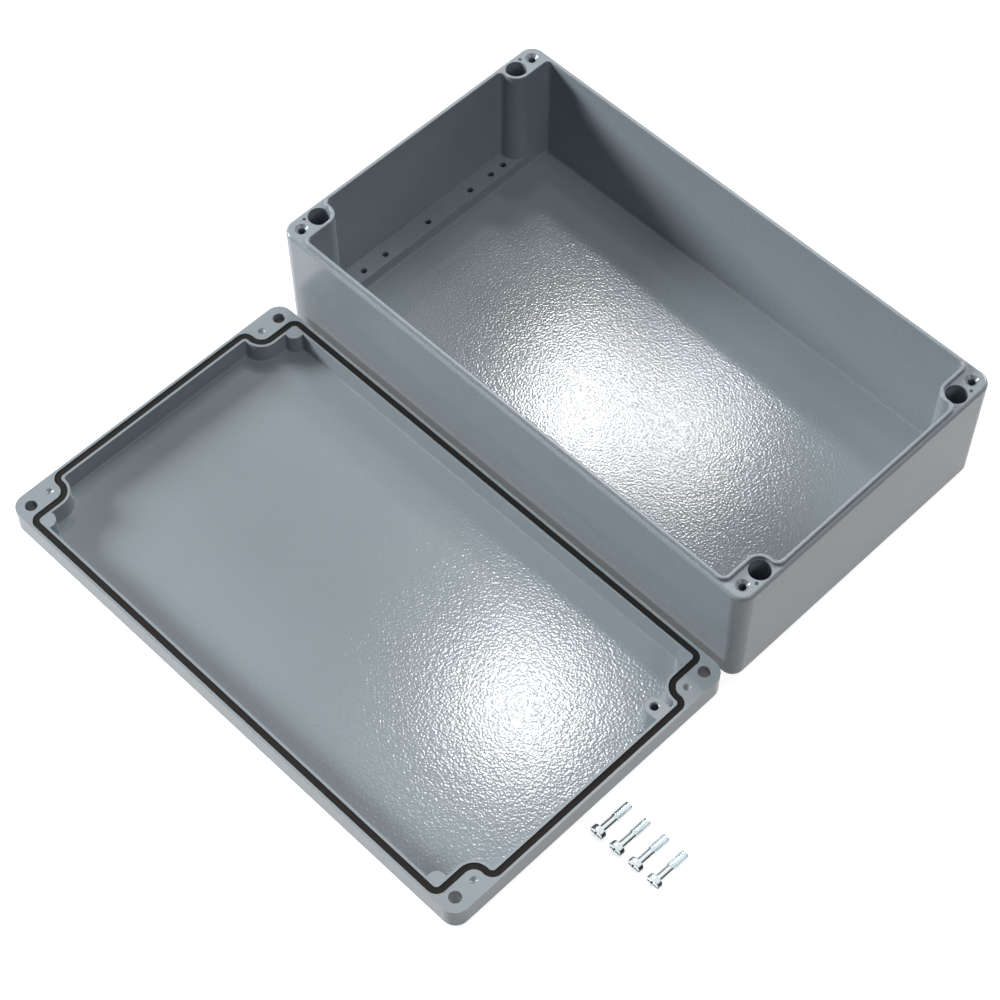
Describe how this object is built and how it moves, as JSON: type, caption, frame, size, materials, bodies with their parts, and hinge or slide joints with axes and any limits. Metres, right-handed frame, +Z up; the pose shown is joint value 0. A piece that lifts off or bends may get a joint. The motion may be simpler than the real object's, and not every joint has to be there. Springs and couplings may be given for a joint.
{
  "type": "die cast aluminium enclosure box",
  "caption": "Rectangular powder-coated die cast aluminium enclosure, shown open: deep base, inverted lid with a rubber gasket in its groove, and loose lid screws.",
  "frame": {"origin": "centre of the base's underside", "axes": "+X along the long side of the box, towards the loose screws; +Y from the lid towards the base; +Z up, out of the open base"},
  "size_m": [0.464, 0.4653, 0.0929],
  "materials": {
    "grey_coat": "semi-gloss silver-grey powder coat with a fine orange-peel texture over cast aluminium",
    "gasket_rubber": "matt black elastomer",
    "plated_screw": "bright plated steel"
  },
  "bodies": {
    "root": {"enclosure_base": "grey_coat", "enclosure_lid": "grey_coat", "lid_gasket": "gasket_rubber", "lid_screw_1": "plated_screw", "lid_screw_2": "plated_screw", "lid_screw_3": "plated_screw", "lid_screw_4": "plated_screw"}
  },
  "joints": []
}
